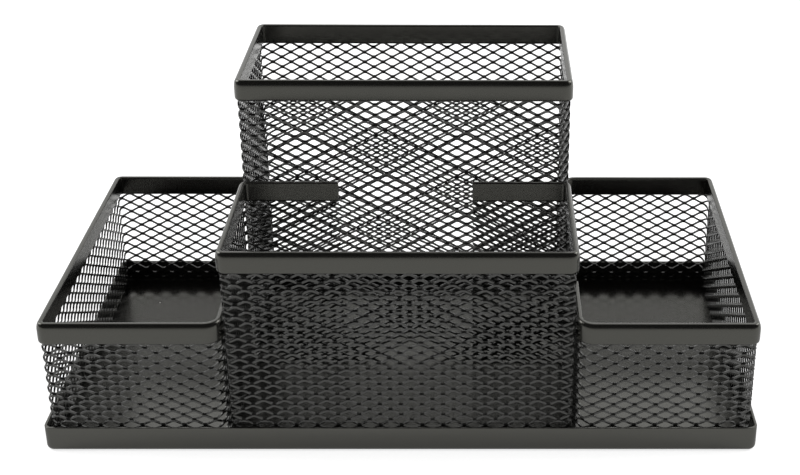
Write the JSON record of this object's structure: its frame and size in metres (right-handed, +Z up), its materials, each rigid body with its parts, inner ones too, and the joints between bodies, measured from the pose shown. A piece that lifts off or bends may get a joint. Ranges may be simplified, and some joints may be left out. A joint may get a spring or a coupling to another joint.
{
  "type": "mesh desk organizer",
  "caption": "Black steel mesh desk organizer: two low side trays, a front box and a tall back box on a lipped base pan.",
  "frame": {"origin": "middle of the base pan's underside, where it stands on the desk", "axes": "+X to the user's right along the long side, +Y from the user's side to the back, +Z up"},
  "size_m": [0.206, 0.103, 0.096],
  "materials": {
    "pan_steel": "semi-gloss black powder coat on pressed steel sheet",
    "rim_steel": "semi-gloss black powder coat on formed steel strip",
    "mesh_steel": "semi-gloss black powder coat on raised expanded steel mesh"
  },
  "bodies": {
    "root": {"base_pan": "pan_steel", "back_box_mesh": "mesh_steel", "back_box_rim": "rim_steel", "front_box_mesh": "mesh_steel", "front_box_rim": "rim_steel", "right_tray_mesh": "mesh_steel", "right_tray_rim": "rim_steel", "left_tray_mesh": "mesh_steel", "left_tray_rim": "rim_steel"}
  },
  "joints": []
}
